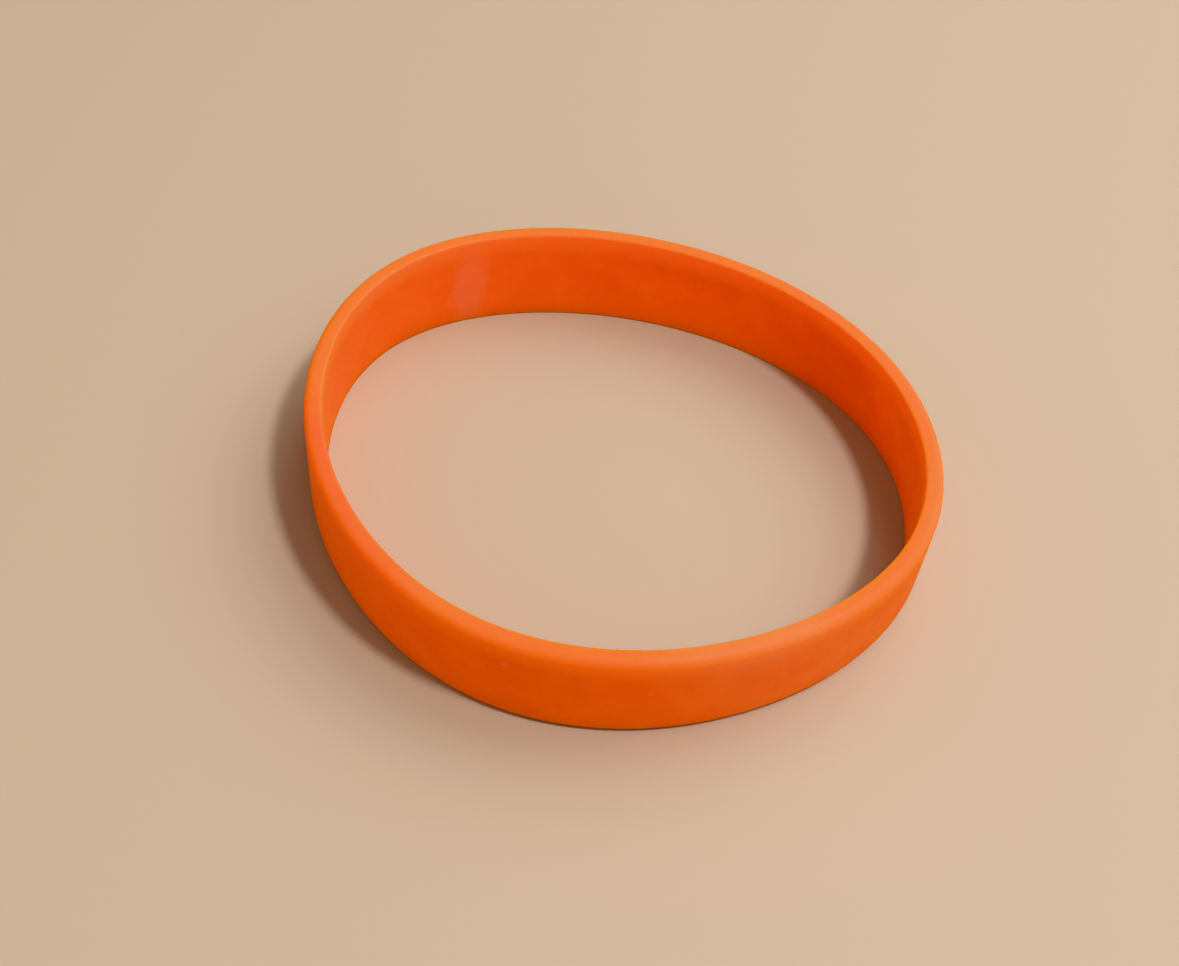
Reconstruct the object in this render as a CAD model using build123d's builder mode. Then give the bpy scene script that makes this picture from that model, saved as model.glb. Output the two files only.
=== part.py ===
from build123d import *
import os
from collections import namedtuple
from math import cos, pi, radians, sin

# Driving dimensions, in millimetres
inner_girth = 202.0  # round the inside of the band, the usual adult length
band_width = 12.0  # along the wrist, so the height of the band as it lies
wall = 2.0  # thickness of the rubber
outer_edge_round = 0.9  # soft, full rounding where each rim meets the outside
inner_edge_round = 0.25  # slight rounding where each rim meets the inside

# The soft loop lies a little out of round. Each row is one wave of its outline: how many
# crests it has in a turn, its height as a share of the loop's middle radius, and the
# direction that one crest points towards, in degrees from +X.
Wave = namedtuple("Wave", "crests share towards")
outline_waves = [
    Wave(crests=2, share=0.0608, towards=0.0),
    Wave(crests=3, share=0.0240, towards=36.4),
    Wave(crests=4, share=0.0057, towards=-9.2),
    Wave(crests=5, share=0.0027, towards=-7.7),
]

# The wall also leans by a degree or two, outwards in some places and inwards in others. The
# shares of these waves say how far it moves outwards in each millimetre that it rises.
lean_waves = [
    Wave(crests=0, share=0.0184, towards=0.0),
    Wave(crests=1, share=0.0158, towards=-14.5),
    Wave(crests=2, share=0.0318, towards=-51.7),
    Wave(crests=3, share=0.0308, towards=-6.0),
]

# Points on one outline, several to each crest of the shortest wave
outline_points = 40

# The loop's radius in the middle of the wall, if it lay round
middle_radius = inner_girth / (2 * pi) + wall / 2


def swell(waves, angle):
    """Sum of the waves in this direction."""
    return sum(w.share * cos(w.crests * (angle - radians(w.towards))) for w in waves)


def slope(waves, angle):
    """How fast that sum changes with the angle."""
    return sum(-w.crests * w.share * sin(w.crests * (angle - radians(w.towards))) for w in waves)


def reach(angle, depth, height):
    """How far out the wall's surface stands where it faces this direction.

    The depth is counted outwards from the middle of the wall. It is the same all round, which
    gives a wall of even thickness.
    """
    loop = middle_radius * (1 + swell(outline_waves, angle))
    lean = (height - band_width / 2) * swell(lean_waves, angle)
    return loop + depth + lean


def turn(angle, height):
    """How fast that reach changes with the angle."""
    loop = middle_radius * slope(outline_waves, angle)
    lean = (height - band_width / 2) * slope(lean_waves, angle)
    return loop + lean


def side(angle):
    """The outside's farthest reach in this direction, between its rounded edges."""
    lower = reach(angle, wall / 2, outer_edge_round)
    upper = reach(angle, wall / 2, band_width - outer_edge_round)
    return max(lower, upper)


# Middle of the band's box, which becomes the origin
centre_x = (side(0) - side(pi)) / 2
centre_y = (side(pi / 2) - side(-pi / 2)) / 2


def outline(depth, height):
    """Points round the wall at one depth and height, one for each direction it faces."""
    points = []
    for step in range(outline_points):
        angle = 2 * pi * step / outline_points
        out = reach(angle, depth, height)
        along = turn(angle, height)
        x = out * cos(angle) - along * sin(angle) - centre_x
        y = out * sin(angle) + along * cos(angle) - centre_y
        points.append((x, y))
    return points


def section(depth, height):
    """Flat face inside the outline at one depth and height."""
    with BuildSketch(Plane.XY.offset(height)) as flat:
        with BuildLine():
            Spline(*outline(depth, height), periodic=True)
        make_face()
    return flat.sketch.face()


# The band: its outer form, hollowed by its inner form, with rounded rims
with BuildPart() as wristband:
    outside = wall / 2
    inside = -wall / 2
    loft([section(outside, 0), section(outside, band_width)], ruled=True)
    loft([section(inside, 0), section(inside, band_width)], ruled=True, mode=Mode.SUBTRACT)
    levels = wristband.edges().group_by(Axis.Z)
    lower_rim = levels[0].sort_by(SortBy.LENGTH)
    upper_rim = levels[-1].sort_by(SortBy.LENGTH)
    fillet([lower_rim[-1], upper_rim[-1]], outer_edge_round)
    fillet([lower_rim[0], upper_rim[0]], inner_edge_round)

wristband.part.label = "wristband"

os.makedirs("parts", exist_ok=True)
export_step(wristband.part, "parts/wristband.step")
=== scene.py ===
"""A plain orange silicone wristband lying on its edge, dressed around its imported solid."""

from collections import namedtuple
from math import cos, pi, radians, sin

import bmesh
import bpy
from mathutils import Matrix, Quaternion, Vector, noise


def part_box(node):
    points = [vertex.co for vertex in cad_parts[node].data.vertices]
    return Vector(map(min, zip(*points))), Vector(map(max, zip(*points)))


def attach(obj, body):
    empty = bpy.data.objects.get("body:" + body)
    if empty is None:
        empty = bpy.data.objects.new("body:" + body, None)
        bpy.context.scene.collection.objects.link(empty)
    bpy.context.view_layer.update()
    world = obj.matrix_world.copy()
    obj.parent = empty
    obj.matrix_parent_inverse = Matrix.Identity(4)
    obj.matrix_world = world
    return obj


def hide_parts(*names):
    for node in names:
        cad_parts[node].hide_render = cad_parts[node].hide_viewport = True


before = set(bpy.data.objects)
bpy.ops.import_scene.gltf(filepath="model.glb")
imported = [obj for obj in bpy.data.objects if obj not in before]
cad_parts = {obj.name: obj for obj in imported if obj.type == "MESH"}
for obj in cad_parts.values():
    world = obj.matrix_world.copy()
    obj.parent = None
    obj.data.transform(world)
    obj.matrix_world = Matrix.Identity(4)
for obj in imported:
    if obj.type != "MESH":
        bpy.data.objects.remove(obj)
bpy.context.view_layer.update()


def linear(hex_colour):
    """An sRGB hex colour as linear red, green, blue and alpha."""
    channels = [int(hex_colour[i : i + 2], 16) / 255 for i in (1, 3, 5)]
    curved = [c / 12.92 if c <= 0.04045 else ((c + 0.055) / 1.055) ** 2.4 for c in channels]
    return (*curved, 1.0)


def add(tree, kind, inputs=(), **settings):
    """Adds one node to a tree. Each input takes a value or another node's output."""
    made = tree.nodes.new(kind)
    for name, value in settings.items():
        setattr(made, name, value)
    for socket, value in dict(inputs).items():
        if isinstance(value, bpy.types.NodeSocket):
            tree.links.new(value, made.inputs[socket])
        else:
            made.inputs[socket].default_value = value
    return made


# Sockets that go by number, because their names repeat on the node
MIX_SHARE = 0
MIX_FROM = 6
MIX_TO = 7
MIXED = 2
FIRST = 0
SECOND = 1
THIRD = 2

MM = 0.001  # lengths below are in metres, written as millimetres times this

# The band's measures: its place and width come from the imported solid
solid_low, solid_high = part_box("wristband")
BAND_WIDTH = solid_high.z - solid_low.z  # along the wrist, so the height of the band as it lies
INNER_GIRTH = 202 * MM  # round the inside of the band
WALL = 2.0 * MM  # thickness of the rubber
OUTSIDE = WALL / 2  # depth of the outer side, counted outwards from the middle of the wall
INSIDE = -WALL / 2  # depth of the inner side
OUTER_EDGE_ROUND = 0.9 * MM  # soft, full rounding where each rim meets the outside
INNER_EDGE_ROUND = 0.25 * MM  # slight rounding where each rim meets the inside
MIDDLE_RADIUS = INNER_GIRTH / (2 * pi) + WALL / 2  # of the middle of the wall, if the loop lay round

# The soft loop lies a little out of round. Each wave has a number of crests in a turn, a height
# as a share of the middle radius, and the direction of one crest in degrees from +X.
Wave = namedtuple("Wave", "crests share towards")
OUTLINE_WAVES = [
    Wave(crests=2, share=0.0608, towards=0.0),
    Wave(crests=3, share=0.0240, towards=36.4),
    Wave(crests=4, share=0.0057, towards=-9.2),
    Wave(crests=5, share=0.0027, towards=-7.7),
]

# The wall leans a degree or two: outward movement for each unit that it rises
LEAN_WAVES = [
    Wave(crests=0, share=0.0184, towards=0.0),
    Wave(crests=1, share=0.0158, towards=-14.5),
    Wave(crests=2, share=0.0318, towards=-51.7),
    Wave(crests=3, share=0.0308, towards=-6.0),
]

# Fineness of the mesh
STATIONS = 720  # cuts through the wall, all round the loop
WALL_STEPS = 18  # faces up each side of the wall
RIM_STEPS = 4  # faces across each rim's flat
ROUND_STEPS = 8  # faces round each outer edge
CREASE_STEPS = 4  # faces round each inner edge

# Moulded rubber is never dead flat: shallow swells in the wall, far apart and very low
SWELL_SPACING = 14 * MM
SWELL_HEIGHT = 0.03 * MM

# The rubber itself: strong pigment, milled in soft clouds that are not quite even
PIGMENT_DEEP = linear("#e35705")
PIGMENT_BRIGHT = linear("#fd710f")
# A deeper red, used only for the painted shade on the inside at the back right
PAINTED_SHADE_RED = linear("#cc3c05")
PIGMENT_CLOUD = 5 * MM
CLOUD_DETAIL = 5.0
CLOUD_BREAKUP = 0.6
SILICONE_IOR = 1.41
SPECULAR_LEVEL = 0.15  # the blasted finish throws back less than a polished one
LIGHT_DEPTH = 4.0 * MM  # how far light wanders inside the rubber
LIGHT_REACH = (1.0, 0.4, 0.08)  # shares of that depth that red, green and blue reach

# Painted light on the upper rim: paler towards the top, standing in for the light that falls on the rim
# and glows back out just below it
PAINTED_RIM_LIGHT = linear("#ff7410")
RIM_LIGHT_STARTS = 3.2 * MM  # from the rim, down the wall
RIM_LIGHT_FULL = 0.9 * MM

# The film of handling dust, where the noise that spreads it lies between these two values; the same
# colour paints the sheen placed below
DUST_FILM_AND_SHEEN = linear("#ffb494")
FILM_PATCH = 11 * MM
FILM_DETAIL = 6.0
FILM_BREAKUP = 0.7
FILM_STARTS = 0.45
FILM_FULL = 0.8
FILM_STRENGTH = 0.02

# The pale pinkish streak
PALE_STREAK_TONE = linear("#ff9574")
STREAK_RAGGEDNESS = 2.2 * MM
STREAK_DETAIL = 3.0
NOISE_MIDDLE = 0.5

# Grains of dust
DUST = linear("#ffb78e")
DUST_SPACING = 5.0 * MM
DUST_RADIUS = 0.2 * MM
DUST_STRENGTH = 0.4

# The mould's blasted grain. The real one is finer than 0.1 mm and is drawn several times as
# coarse, so that it shows.
BLAST_GRAIN = 0.4 * MM
BLAST_DETAIL = 2.0
BLAST_BREAKUP = 0.6
BLAST_DEPTH = 0.03 * MM
BLAST_STRENGTH = 0.5

# Roughness, between handled and untouched places
HANDLED_PATCH = 8 * MM
HANDLED_DETAIL = 2.0
MOST_HANDLED = 0.3
LEAST_HANDLED = 0.7
SMOOTHEST = 0.44
ROUGHEST = 0.54

# Marks that the photograph shows on this band, and places of painted light and shade: the direction of
# each one's middle in degrees from +X, its height, half its size into the wall, along it and up it, its
# strength and its depth in the wall. A mark is at its full strength out to its core, which is a share
# of that size, and then fades. Its top may lean some degrees along the wall, clockwise round the loop.
Mark = namedtuple("Mark", "facing height half_size strength depth core lean", defaults=(0.0, 0.3, 0.0))

# Painted sheen in the dust film's colour, standing in for the soft reflection of the lamps: the front
# right, on the rim and down the wall, and two more stretches of the rim
PAINTED_SHEEN_PLACES = [
    Mark(facing=316, height=12 * MM, half_size=(6 * MM, 16 * MM, 5 * MM), strength=0.16),
    Mark(facing=324, height=5 * MM, half_size=(6 * MM, 18 * MM, 9 * MM), strength=0.10),
    Mark(facing=14, height=12 * MM, half_size=(6 * MM, 9 * MM, 2.5 * MM), strength=0.08),
    Mark(facing=158, height=12 * MM, half_size=(6 * MM, 24 * MM, 2.5 * MM), strength=0.05),
]

# Painted shade: the inside at the back right, painted deeper and redder where it lies in shade
PAINTED_SHADE_PLACE = Mark(
    facing=66,
    height=4.5 * MM,
    half_size=(1.5 * MM, 26 * MM, 8 * MM),
    strength=0.3,
    depth=INSIDE,
)

# The stretch of rim at the front left where the painted rim light is mostly taken away, so the rim
# stays deep orange
RIM_LIGHT_GAP = Mark(
    facing=232,
    height=12 * MM,
    half_size=(6 * MM, 24 * MM, 5 * MM),
    strength=0.9,
)

# The pinkish patch on the inside at the back left
PALE_STREAK = Mark(
    facing=137.5,
    height=5.5 * MM,
    half_size=(1.2 * MM, 3.4 * MM, 10 * MM),
    strength=0.48,
    depth=INSIDE,
    lean=8,
)

# Specks of dust, one plain and three faint
PLAIN_SPECK = (0.5 * MM, 0.6 * MM, 0.55 * MM)
FAINT_SPECK = (0.5 * MM, 0.55 * MM, 0.5 * MM)
SPECKS = [
    Mark(facing=277, height=8.7 * MM, half_size=PLAIN_SPECK, strength=0.5, depth=OUTSIDE, core=0),
    Mark(facing=302, height=7 * MM, half_size=FAINT_SPECK, strength=0.25, depth=OUTSIDE, core=0),
    Mark(facing=25, height=8.1 * MM, half_size=FAINT_SPECK, strength=0.25, depth=INSIDE, core=0),
    Mark(facing=97, height=7.5 * MM, half_size=FAINT_SPECK, strength=0.25, depth=INSIDE, core=0),
]

# The floor, a plain matt sheet
FLOOR_COLOUR = linear("#b9a48e")
FLOOR_ROUGHNESS = 0.7
FLOOR_RADIUS = 2.0
FLOOR_SIDES = 96

# The camera, found from the edges of the band in the photograph
CAMERA_AIM = Vector((-2.409, 0.707, 0.0)) * MM  # the place on the floor in the middle of the picture
CAMERA_AZIMUTH = 24.03  # degrees round from looking along +Y
CAMERA_ELEVATION = 47.78  # degrees above the floor
CAMERA_DISTANCE = 194.2 * MM
CAMERA_ROLL = 4.39  # degrees that its right side is held up
CAMERA_LENS = 51.32  # millimetres, as the sensor's width is
SENSOR_WIDTH = 36.0
NEAREST_SEEN = 1 * MM


def swells(waves, angle):
    """Sum of the waves in this direction."""
    return sum(w.share * cos(w.crests * (angle - radians(w.towards))) for w in waves)


def slopes(waves, angle):
    """How fast that sum changes with the angle."""
    return sum(-w.crests * w.share * sin(w.crests * (angle - radians(w.towards))) for w in waves)


def wall_place(angle, depth, height):
    """The place on the wall that faces this direction, before the loop is centred.

    The depth is counted outwards from the middle of the wall.
    """
    rise = height - BAND_WIDTH / 2
    out = MIDDLE_RADIUS * (1 + swells(OUTLINE_WAVES, angle)) + depth + rise * swells(LEAN_WAVES, angle)
    along = MIDDLE_RADIUS * slopes(OUTLINE_WAVES, angle) + rise * slopes(LEAN_WAVES, angle)
    x = out * cos(angle) - along * sin(angle)
    y = out * sin(angle) + along * cos(angle)
    return Vector((x, y, height))


# A rounded corner of the cut through the wall: the middle and radius of its round, the direction
# in which the round begins, the faces round it and the faces of the straight run that follows
Corner = namedtuple("Corner", "depth height radius begins steps run")


def cut_through_wall():
    """Depths and heights round one cut through the wall, anticlockwise from the lower outer edge."""
    outer_depth = OUTSIDE - OUTER_EDGE_ROUND
    inner_depth = INSIDE + INNER_EDGE_ROUND
    outer_low = OUTER_EDGE_ROUND
    outer_high = BAND_WIDTH - OUTER_EDGE_ROUND
    inner_low = INNER_EDGE_ROUND
    inner_high = BAND_WIDTH - INNER_EDGE_ROUND
    corners = [
        Corner(outer_depth, outer_low, OUTER_EDGE_ROUND, -90, ROUND_STEPS, WALL_STEPS),
        Corner(outer_depth, outer_high, OUTER_EDGE_ROUND, 0, ROUND_STEPS, RIM_STEPS),
        Corner(inner_depth, inner_high, INNER_EDGE_ROUND, 90, CREASE_STEPS, WALL_STEPS),
        Corner(inner_depth, inner_low, INNER_EDGE_ROUND, 180, CREASE_STEPS, RIM_STEPS),
    ]
    rounds = []
    for corner in corners:
        arc = []
        for step in range(corner.steps + 1):
            turned = radians(corner.begins + 90 * step / corner.steps)
            depth = corner.depth + corner.radius * cos(turned)
            height = corner.height + corner.radius * sin(turned)
            arc.append((depth, height))
        rounds.append(arc)
    cut = []
    for i, corner in enumerate(corners):
        cut.extend(rounds[i])
        run_start = rounds[i][-1]
        run_end = rounds[(i + 1) % len(rounds)][0]
        for step in range(1, corner.run):
            share = step / corner.run
            depth = run_start[0] + share * (run_end[0] - run_start[0])
            height = run_start[1] + share * (run_end[1] - run_start[1])
            cut.append((depth, height))
    return cut


def loop_centre():
    """The shift that puts the loop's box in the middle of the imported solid's."""
    sides = []
    for step in range(STATIONS):
        angle = 2 * pi * step / STATIONS
        sides.append(wall_place(angle, OUTSIDE, OUTER_EDGE_ROUND))
        sides.append(wall_place(angle, OUTSIDE, BAND_WIDTH - OUTER_EDGE_ROUND))
    middle_x = (min(p.x for p in sides) + max(p.x for p in sides)) / 2
    middle_y = (min(p.y for p in sides) + max(p.y for p in sides)) / 2
    solid_middle = (solid_low + solid_high) / 2
    return Vector((solid_middle.x - middle_x, solid_middle.y - middle_y, solid_low.z))


LOOP_SHIFT = loop_centre()


def make_band():
    """The whole band as one closed skin."""
    cut = cut_through_wall()
    mesh = bmesh.new()
    rings = []
    for station in range(STATIONS):
        angle = 2 * pi * station / STATIONS
        outwards = Vector((cos(angle), sin(angle), 0))
        ring = []
        for depth, height in cut:
            place = wall_place(angle, depth, height) + LOOP_SHIFT
            place += outwards * SWELL_HEIGHT * noise.noise(place / SWELL_SPACING)
            ring.append(mesh.verts.new(place))
        rings.append(ring)
    for station, ring in enumerate(rings):
        following = rings[(station + 1) % STATIONS]
        for i in range(len(cut)):
            j = (i + 1) % len(cut)
            face = mesh.faces.new((ring[i], following[i], following[j], ring[j]))
            face.smooth = True
    data = bpy.data.meshes.new("silicone_band")
    mesh.to_mesh(data)
    mesh.free()
    band = bpy.data.objects.new("silicone_band", data)
    bpy.context.collection.objects.link(band)
    return band


def mark_share(tree, place, mark):
    """How strongly a mark shows at each place: its full strength in its middle, none at its edge."""
    around = radians(mark.facing)
    middle = wall_place(around, mark.depth, mark.height) + LOOP_SHIFT
    turned = (radians(mark.lean), 0, around)
    from_middle = add(
        tree,
        "ShaderNodeMapping",
        {"Vector": place, "Location": middle, "Rotation": turned, "Scale": mark.half_size},
        vector_type="TEXTURE",
    )
    how_far = add(
        tree,
        "ShaderNodeVectorMath",
        {FIRST: from_middle.outputs["Vector"]},
        operation="LENGTH",
    )
    share = add(
        tree,
        "ShaderNodeMapRange",
        {
            "Value": how_far.outputs["Value"],
            "From Min": 1.0,
            "From Max": mark.core,
            "To Max": mark.strength,
        },
        interpolation_type="SMOOTHSTEP",
    )
    return share.outputs["Result"]


def pigment_and_painted_shade(tree, place):
    """The rubber's own colour, in soft clouds, with painted shade that makes it deeper and redder on
    the inside at the back right.
    """
    clouds = add(
        tree,
        "ShaderNodeTexNoise",
        {
            "Vector": place,
            "Scale": 1 / PIGMENT_CLOUD,
            "Detail": CLOUD_DETAIL,
            "Roughness": CLOUD_BREAKUP,
        },
    )
    pigment = add(
        tree,
        "ShaderNodeMix",
        {MIX_SHARE: clouds.outputs["Fac"], MIX_FROM: PIGMENT_DEEP, MIX_TO: PIGMENT_BRIGHT},
        data_type="RGBA",
    )
    shade_painted = add(
        tree,
        "ShaderNodeMix",
        {
            MIX_SHARE: mark_share(tree, place, PAINTED_SHADE_PLACE),
            MIX_FROM: pigment.outputs[MIXED],
            MIX_TO: PAINTED_SHADE_RED,
        },
        data_type="RGBA",
    )
    return shade_painted.outputs[MIXED]


def paint_rim_light(tree, place, colour):
    """Painted light: the upper rim is painted a little paler, fading out down the walls, and mostly not
    on one stretch at the front left.
    """
    height = add(tree, "ShaderNodeSeparateXYZ", {"Vector": place})
    rim_light_share = add(
        tree,
        "ShaderNodeMapRange",
        {
            "Value": height.outputs["Z"],
            "From Min": solid_high.z - RIM_LIGHT_STARTS,
            "From Max": solid_high.z - RIM_LIGHT_FULL,
        },
        interpolation_type="SMOOTHSTEP",
    )
    rim_light_left = add(
        tree,
        "ShaderNodeMath",
        {FIRST: rim_light_share.outputs["Result"], SECOND: mark_share(tree, place, RIM_LIGHT_GAP)},
        operation="SUBTRACT",
        use_clamp=True,
    )
    rim_lit = add(
        tree,
        "ShaderNodeMix",
        {MIX_SHARE: rim_light_left.outputs["Value"], MIX_FROM: colour, MIX_TO: PAINTED_RIM_LIGHT},
        data_type="RGBA",
    )
    return rim_lit.outputs[MIXED]


def dust_film_and_sheen(tree, place, colour):
    """A thin film of handling dust, in cloudy patches that are finely broken up, with painted sheen in
    the same colour at a few places.
    """
    patches = add(
        tree,
        "ShaderNodeTexNoise",
        {"Vector": place, "Scale": 1 / FILM_PATCH, "Detail": FILM_DETAIL, "Roughness": FILM_BREAKUP},
    )
    film_and_sheen = add(
        tree,
        "ShaderNodeMapRange",
        {
            "Value": patches.outputs["Fac"],
            "From Min": FILM_STARTS,
            "From Max": FILM_FULL,
            "To Max": FILM_STRENGTH,
        },
    ).outputs["Result"]
    for sheen_place in PAINTED_SHEEN_PLACES:
        film_and_sheen = add(
            tree,
            "ShaderNodeMath",
            {FIRST: film_and_sheen, SECOND: mark_share(tree, place, sheen_place)},
            operation="ADD",
        ).outputs["Value"]
    filmed_and_sheened = add(
        tree,
        "ShaderNodeMix",
        {MIX_SHARE: film_and_sheen, MIX_FROM: colour, MIX_TO: DUST_FILM_AND_SHEEN},
        data_type="RGBA",
    )
    return filmed_and_sheened.outputs[MIXED]


def pale_streak(tree, place, colour):
    """The pale pinkish streak on the inside, ragged at its edge."""
    ragged = add(
        tree,
        "ShaderNodeTexNoise",
        {"Vector": place, "Scale": 1 / STREAK_RAGGEDNESS, "Detail": STREAK_DETAIL},
    )
    either_way = add(
        tree,
        "ShaderNodeVectorMath",
        {FIRST: ragged.outputs["Color"], SECOND: (NOISE_MIDDLE,) * 3},
        operation="SUBTRACT",
    )
    ragged_place = add(
        tree,
        "ShaderNodeVectorMath",
        {FIRST: either_way.outputs["Vector"], SECOND: (STREAK_RAGGEDNESS,) * 3, THIRD: place},
        operation="MULTIPLY_ADD",
    )
    streaked = add(
        tree,
        "ShaderNodeMix",
        {
            MIX_SHARE: mark_share(tree, ragged_place.outputs["Vector"], PALE_STREAK),
            MIX_FROM: colour,
            MIX_TO: PALE_STREAK_TONE,
        },
        data_type="RGBA",
    )
    return streaked.outputs[MIXED]


def dust_over(tree, place, colour):
    """Grains of dust all over, each a small ball that the surface may cut through, and the few
    larger specks of the photograph."""
    grains = add(
        tree,
        "ShaderNodeTexVoronoi",
        {"Vector": place, "Scale": 1 / DUST_SPACING, "Randomness": 1.0},
        feature="F1",
    )
    dust = add(
        tree,
        "ShaderNodeMapRange",
        {
            "Value": grains.outputs["Distance"],
            "From Min": DUST_RADIUS / DUST_SPACING,
            "From Max": 0.0,
            "To Max": DUST_STRENGTH,
        },
    ).outputs["Result"]
    for speck in SPECKS:
        dust = add(
            tree,
            "ShaderNodeMath",
            {FIRST: dust, SECOND: mark_share(tree, place, speck)},
            operation="MAXIMUM",
        ).outputs["Value"]
    dusted = add(
        tree,
        "ShaderNodeMix",
        {MIX_SHARE: dust, MIX_FROM: colour, MIX_TO: DUST},
        data_type="RGBA",
    )
    return dusted.outputs[MIXED]


def blasted_relief(tree, place):
    """The low, even grain that the blasted mould leaves in the skin."""
    grain = add(
        tree,
        "ShaderNodeTexNoise",
        {"Vector": place, "Scale": 1 / BLAST_GRAIN, "Detail": BLAST_DETAIL, "Roughness": BLAST_BREAKUP},
    )
    relief = add(
        tree,
        "ShaderNodeBump",
        {"Height": grain.outputs["Fac"], "Strength": BLAST_STRENGTH, "Distance": BLAST_DEPTH},
    )
    return relief.outputs["Normal"]


def handled_roughness(tree, place):
    """Handled places are a little smoother than the rest."""
    handling = add(
        tree,
        "ShaderNodeTexNoise",
        {"Vector": place, "Scale": 1 / HANDLED_PATCH, "Detail": HANDLED_DETAIL},
    )
    roughness = add(
        tree,
        "ShaderNodeMapRange",
        {
            "Value": handling.outputs["Fac"],
            "From Min": MOST_HANDLED,
            "From Max": LEAST_HANDLED,
            "To Min": SMOOTHEST,
            "To Max": ROUGHEST,
        },
    )
    return roughness.outputs["Result"]


def satin_silicone():
    """Silicone rubber pressed in a grit-blasted mould: the pigment goes right through, light sinks
    a few millimetres in and comes back redder, and the fine grain spreads every highlight into a
    soft satin glow."""
    material = bpy.data.materials.new("satin_moulded_silicone")
    material.use_nodes = True
    tree = material.node_tree
    tree.nodes.clear()
    place = add(tree, "ShaderNodeTexCoord").outputs["Object"]
    # The pigment, with painted shade on the inside at the back right
    colour = pigment_and_painted_shade(tree, place)
    # Painted light on the upper rim
    colour = paint_rim_light(tree, place, colour)
    # A film of dust, with painted sheen at a few places
    colour = dust_film_and_sheen(tree, place, colour)
    colour = pale_streak(tree, place, colour)
    colour = dust_over(tree, place, colour)
    shader = add(
        tree,
        "ShaderNodeBsdfPrincipled",
        {
            "Base Color": colour,
            "Roughness": handled_roughness(tree, place),
            "Normal": blasted_relief(tree, place),
            "IOR": SILICONE_IOR,
            "Specular IOR Level": SPECULAR_LEVEL,
            "Subsurface Weight": 1.0,
            "Subsurface Radius": LIGHT_REACH,
            "Subsurface Scale": LIGHT_DEPTH,
        },
    )
    add(tree, "ShaderNodeOutputMaterial", {"Surface": shader.outputs["BSDF"]})
    return material


def matt_floor():
    """Plain matt paint, which gives the eye soft shadows and no highlight."""
    material = bpy.data.materials.new("pale_matt_floor")
    material.use_nodes = True
    shader = material.node_tree.nodes["Principled BSDF"]
    shader.inputs["Base Color"].default_value = FLOOR_COLOUR
    shader.inputs["Roughness"].default_value = FLOOR_ROUGHNESS
    return material


def make_floor():
    """A plain pale floor, wide enough for every view."""
    mesh = bmesh.new()
    bmesh.ops.create_circle(mesh, cap_ends=True, segments=FLOOR_SIDES, radius=FLOOR_RADIUS)
    data = bpy.data.meshes.new("floor")
    mesh.to_mesh(data)
    mesh.free()
    floor = bpy.data.objects.new("floor", data)
    bpy.context.collection.objects.link(floor)
    data.materials.append(matt_floor())


def towards(azimuth, elevation):
    """The direction from the band to something at this azimuth, from +X, and elevation."""
    flat = cos(radians(elevation))
    return Vector((flat * cos(radians(azimuth)), flat * sin(radians(azimuth)), sin(radians(elevation))))


def make_lamp(name, azimuth, elevation, distance, size, power, colour):
    """A round soft lamp aimed at the band."""
    data = bpy.data.lights.new(name, "AREA")
    data.shape = "DISK"
    data.size = size
    data.energy = power
    data.color = linear(colour)[:3]
    lamp = bpy.data.objects.new(name, data)
    direction = towards(azimuth, elevation)
    lamp.location = direction * distance
    lamp.rotation_mode = "QUATERNION"
    lamp.rotation_quaternion = direction.to_track_quat("Z", "Y")
    bpy.context.collection.objects.link(lamp)


def make_world(colour, strength):
    """Even light from all round."""
    world = bpy.data.worlds.new("soft_room")
    world.use_nodes = True
    background = world.node_tree.nodes["Background"]
    background.inputs["Color"].default_value = linear(colour)
    background.inputs["Strength"].default_value = strength
    bpy.context.scene.world = world


def make_camera():
    """The camera at the photograph's angle."""
    data = bpy.data.cameras.new("camera")
    data.sensor_width = SENSOR_WIDTH
    data.lens = CAMERA_LENS
    data.clip_start = NEAREST_SEEN
    camera = bpy.data.objects.new("camera", data)
    around = radians(CAMERA_AZIMUTH)
    up = radians(CAMERA_ELEVATION)
    back = Vector((sin(around) * cos(up), -cos(around) * cos(up), sin(up)))
    camera.location = CAMERA_AIM + back * CAMERA_DISTANCE
    camera.rotation_mode = "QUATERNION"
    level = back.to_track_quat("Z", "Y")
    camera.rotation_quaternion = level @ Quaternion((0, 0, 1), radians(CAMERA_ROLL))
    bpy.context.collection.objects.link(camera)
    bpy.context.scene.camera = camera


band = make_band()
band.data.materials.append(satin_silicone())
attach(band, "root")
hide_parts("wristband")

# The main light stands on the right, two broad panels behind it, and two weak fills at the front
# and on the left
make_floor()
make_lamp("key_lamp", azimuth=-4, elevation=65, distance=0.9, size=0.11, power=4.15, colour="#ffffff")
make_lamp("back_panel", azimuth=69, elevation=50, distance=1.0, size=0.93, power=4.9, colour="#ffffff")
make_lamp("side_panel", azimuth=24, elevation=50, distance=1.0, size=0.93, power=2.3, colour="#ffffff")
make_lamp("front_fill", azimuth=308, elevation=30, distance=1.0, size=0.93, power=1.0, colour="#ffffff")
make_lamp("left_fill", azimuth=205, elevation=22, distance=0.9, size=0.22, power=0.6, colour="#ffdcc0")
make_world(colour="#fff3e8", strength=0.39)
make_camera()

# This view transform keeps the rubber's strong orange from turning yellow or pale
bpy.context.scene.view_settings.view_transform = "Khronos PBR Neutral"
